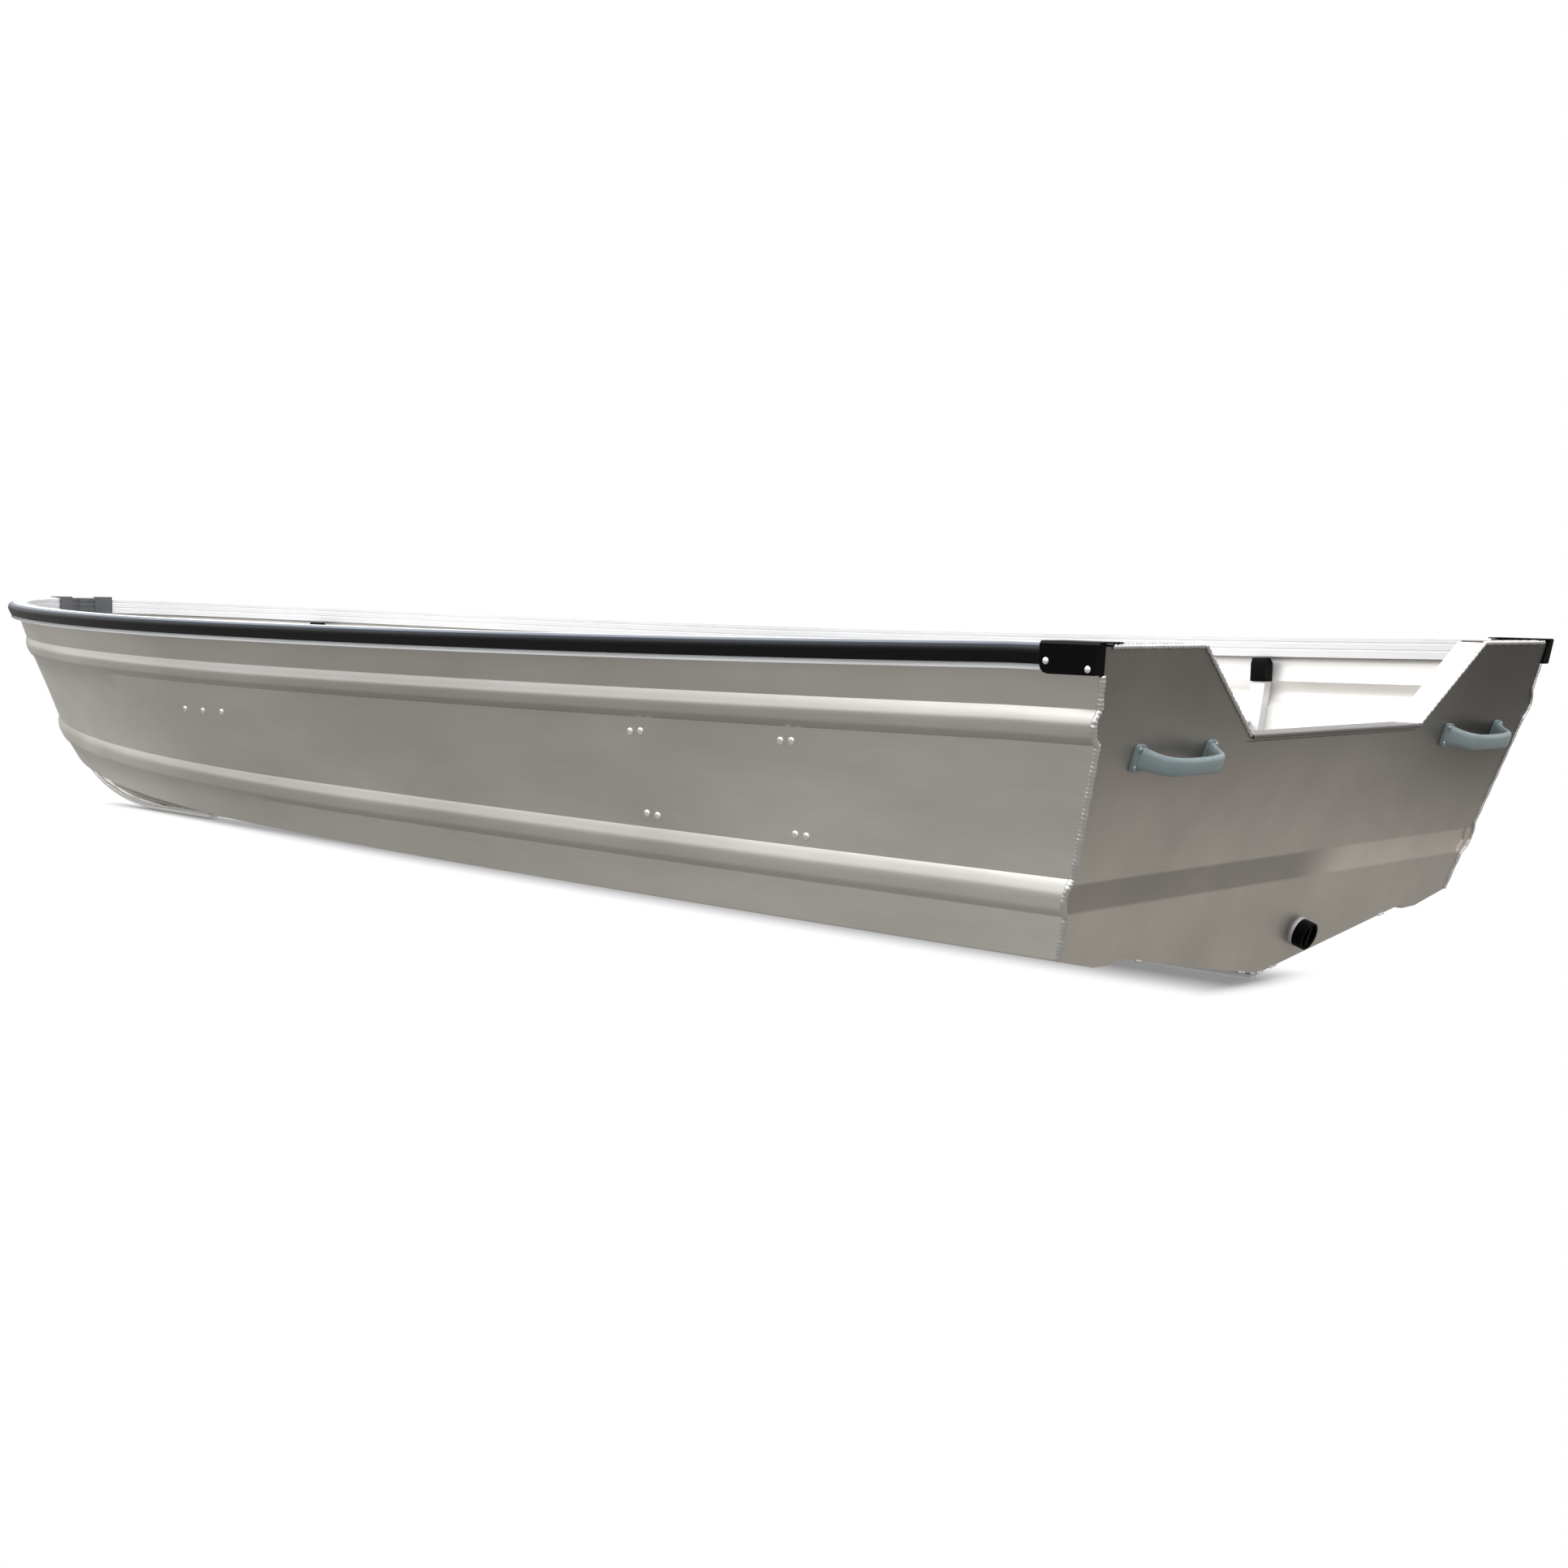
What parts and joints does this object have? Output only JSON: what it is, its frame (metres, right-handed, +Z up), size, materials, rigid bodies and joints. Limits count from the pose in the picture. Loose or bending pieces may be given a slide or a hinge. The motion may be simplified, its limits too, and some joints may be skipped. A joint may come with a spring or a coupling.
{
  "type": "open aluminium utility boat",
  "caption": "Open aluminium boat with a shallow vee bottom, pressed side strakes, rubber rub rail, raked transom with a motor notch, seats, grab handles and drain",
  "frame": {"origin": "on the centre line in the waterline plane of the empty boat, 1.9 m forward of the transom's foot", "axes": "+X forward to the bow, +Y to port, +Z up"},
  "size_m": [4.1257, 1.49, 0.5896],
  "materials": {
    "hull_sheet": "plain mill finish, faintly brushed along the boat",
    "keel_bar": "bright extruded bar",
    "transom_sheet": "plain mill finish",
    "plywood": "marine plywood, hidden between the sheets",
    "edge_cap": "bright folded sheet",
    "rail_extrusion": "extruded, satin",
    "bow_rail": "dull dark grey extrusion",
    "rail_rubber": "smooth black rubber with a blue-grey sheen",
    "black_plastic": "moulded",
    "handle_casting": "light blue-grey paint on a casting",
    "fitting_metal": "machined",
    "seat_sheet": "plain sheet",
    "frame_channel": "extruded channel"
  },
  "bodies": {
    "root": {"side_port": "hull_sheet", "side_starboard": "hull_sheet", "bottom_port": "hull_sheet", "bottom_starboard": "hull_sheet", "keel": "keel_bar", "stem_guard": "keel_bar", "transom_skin": "transom_sheet", "transom_core": "plywood", "transom_liner": "transom_sheet", "top_caps": "edge_cap", "slant_caps": "edge_cap", "notch_cap": "edge_cap", "rail_port": "rail_extrusion", "rail_starboard": "rail_extrusion", "rail_bow": "bow_rail", "rail_sleeves": "bow_rail", "rub_rail": "rail_rubber", "corner_caps": "black_plastic", "handle_port_cast": "handle_casting", "handle_starboard_cast": "handle_casting", "drain_flange": "fitting_metal", "drain_plug": "black_plastic", "rear_seat": "seat_sheet", "rear_frames": "frame_channel", "post_caps": "black_plastic", "bow_seat": "seat_sheet", "bow_frames": "frame_channel", "bow_post_caps": "black_plastic", "ribs": "frame_channel", "transom_knee": "frame_channel", "bow_eye": "fitting_metal"}
  },
  "joints": []
}
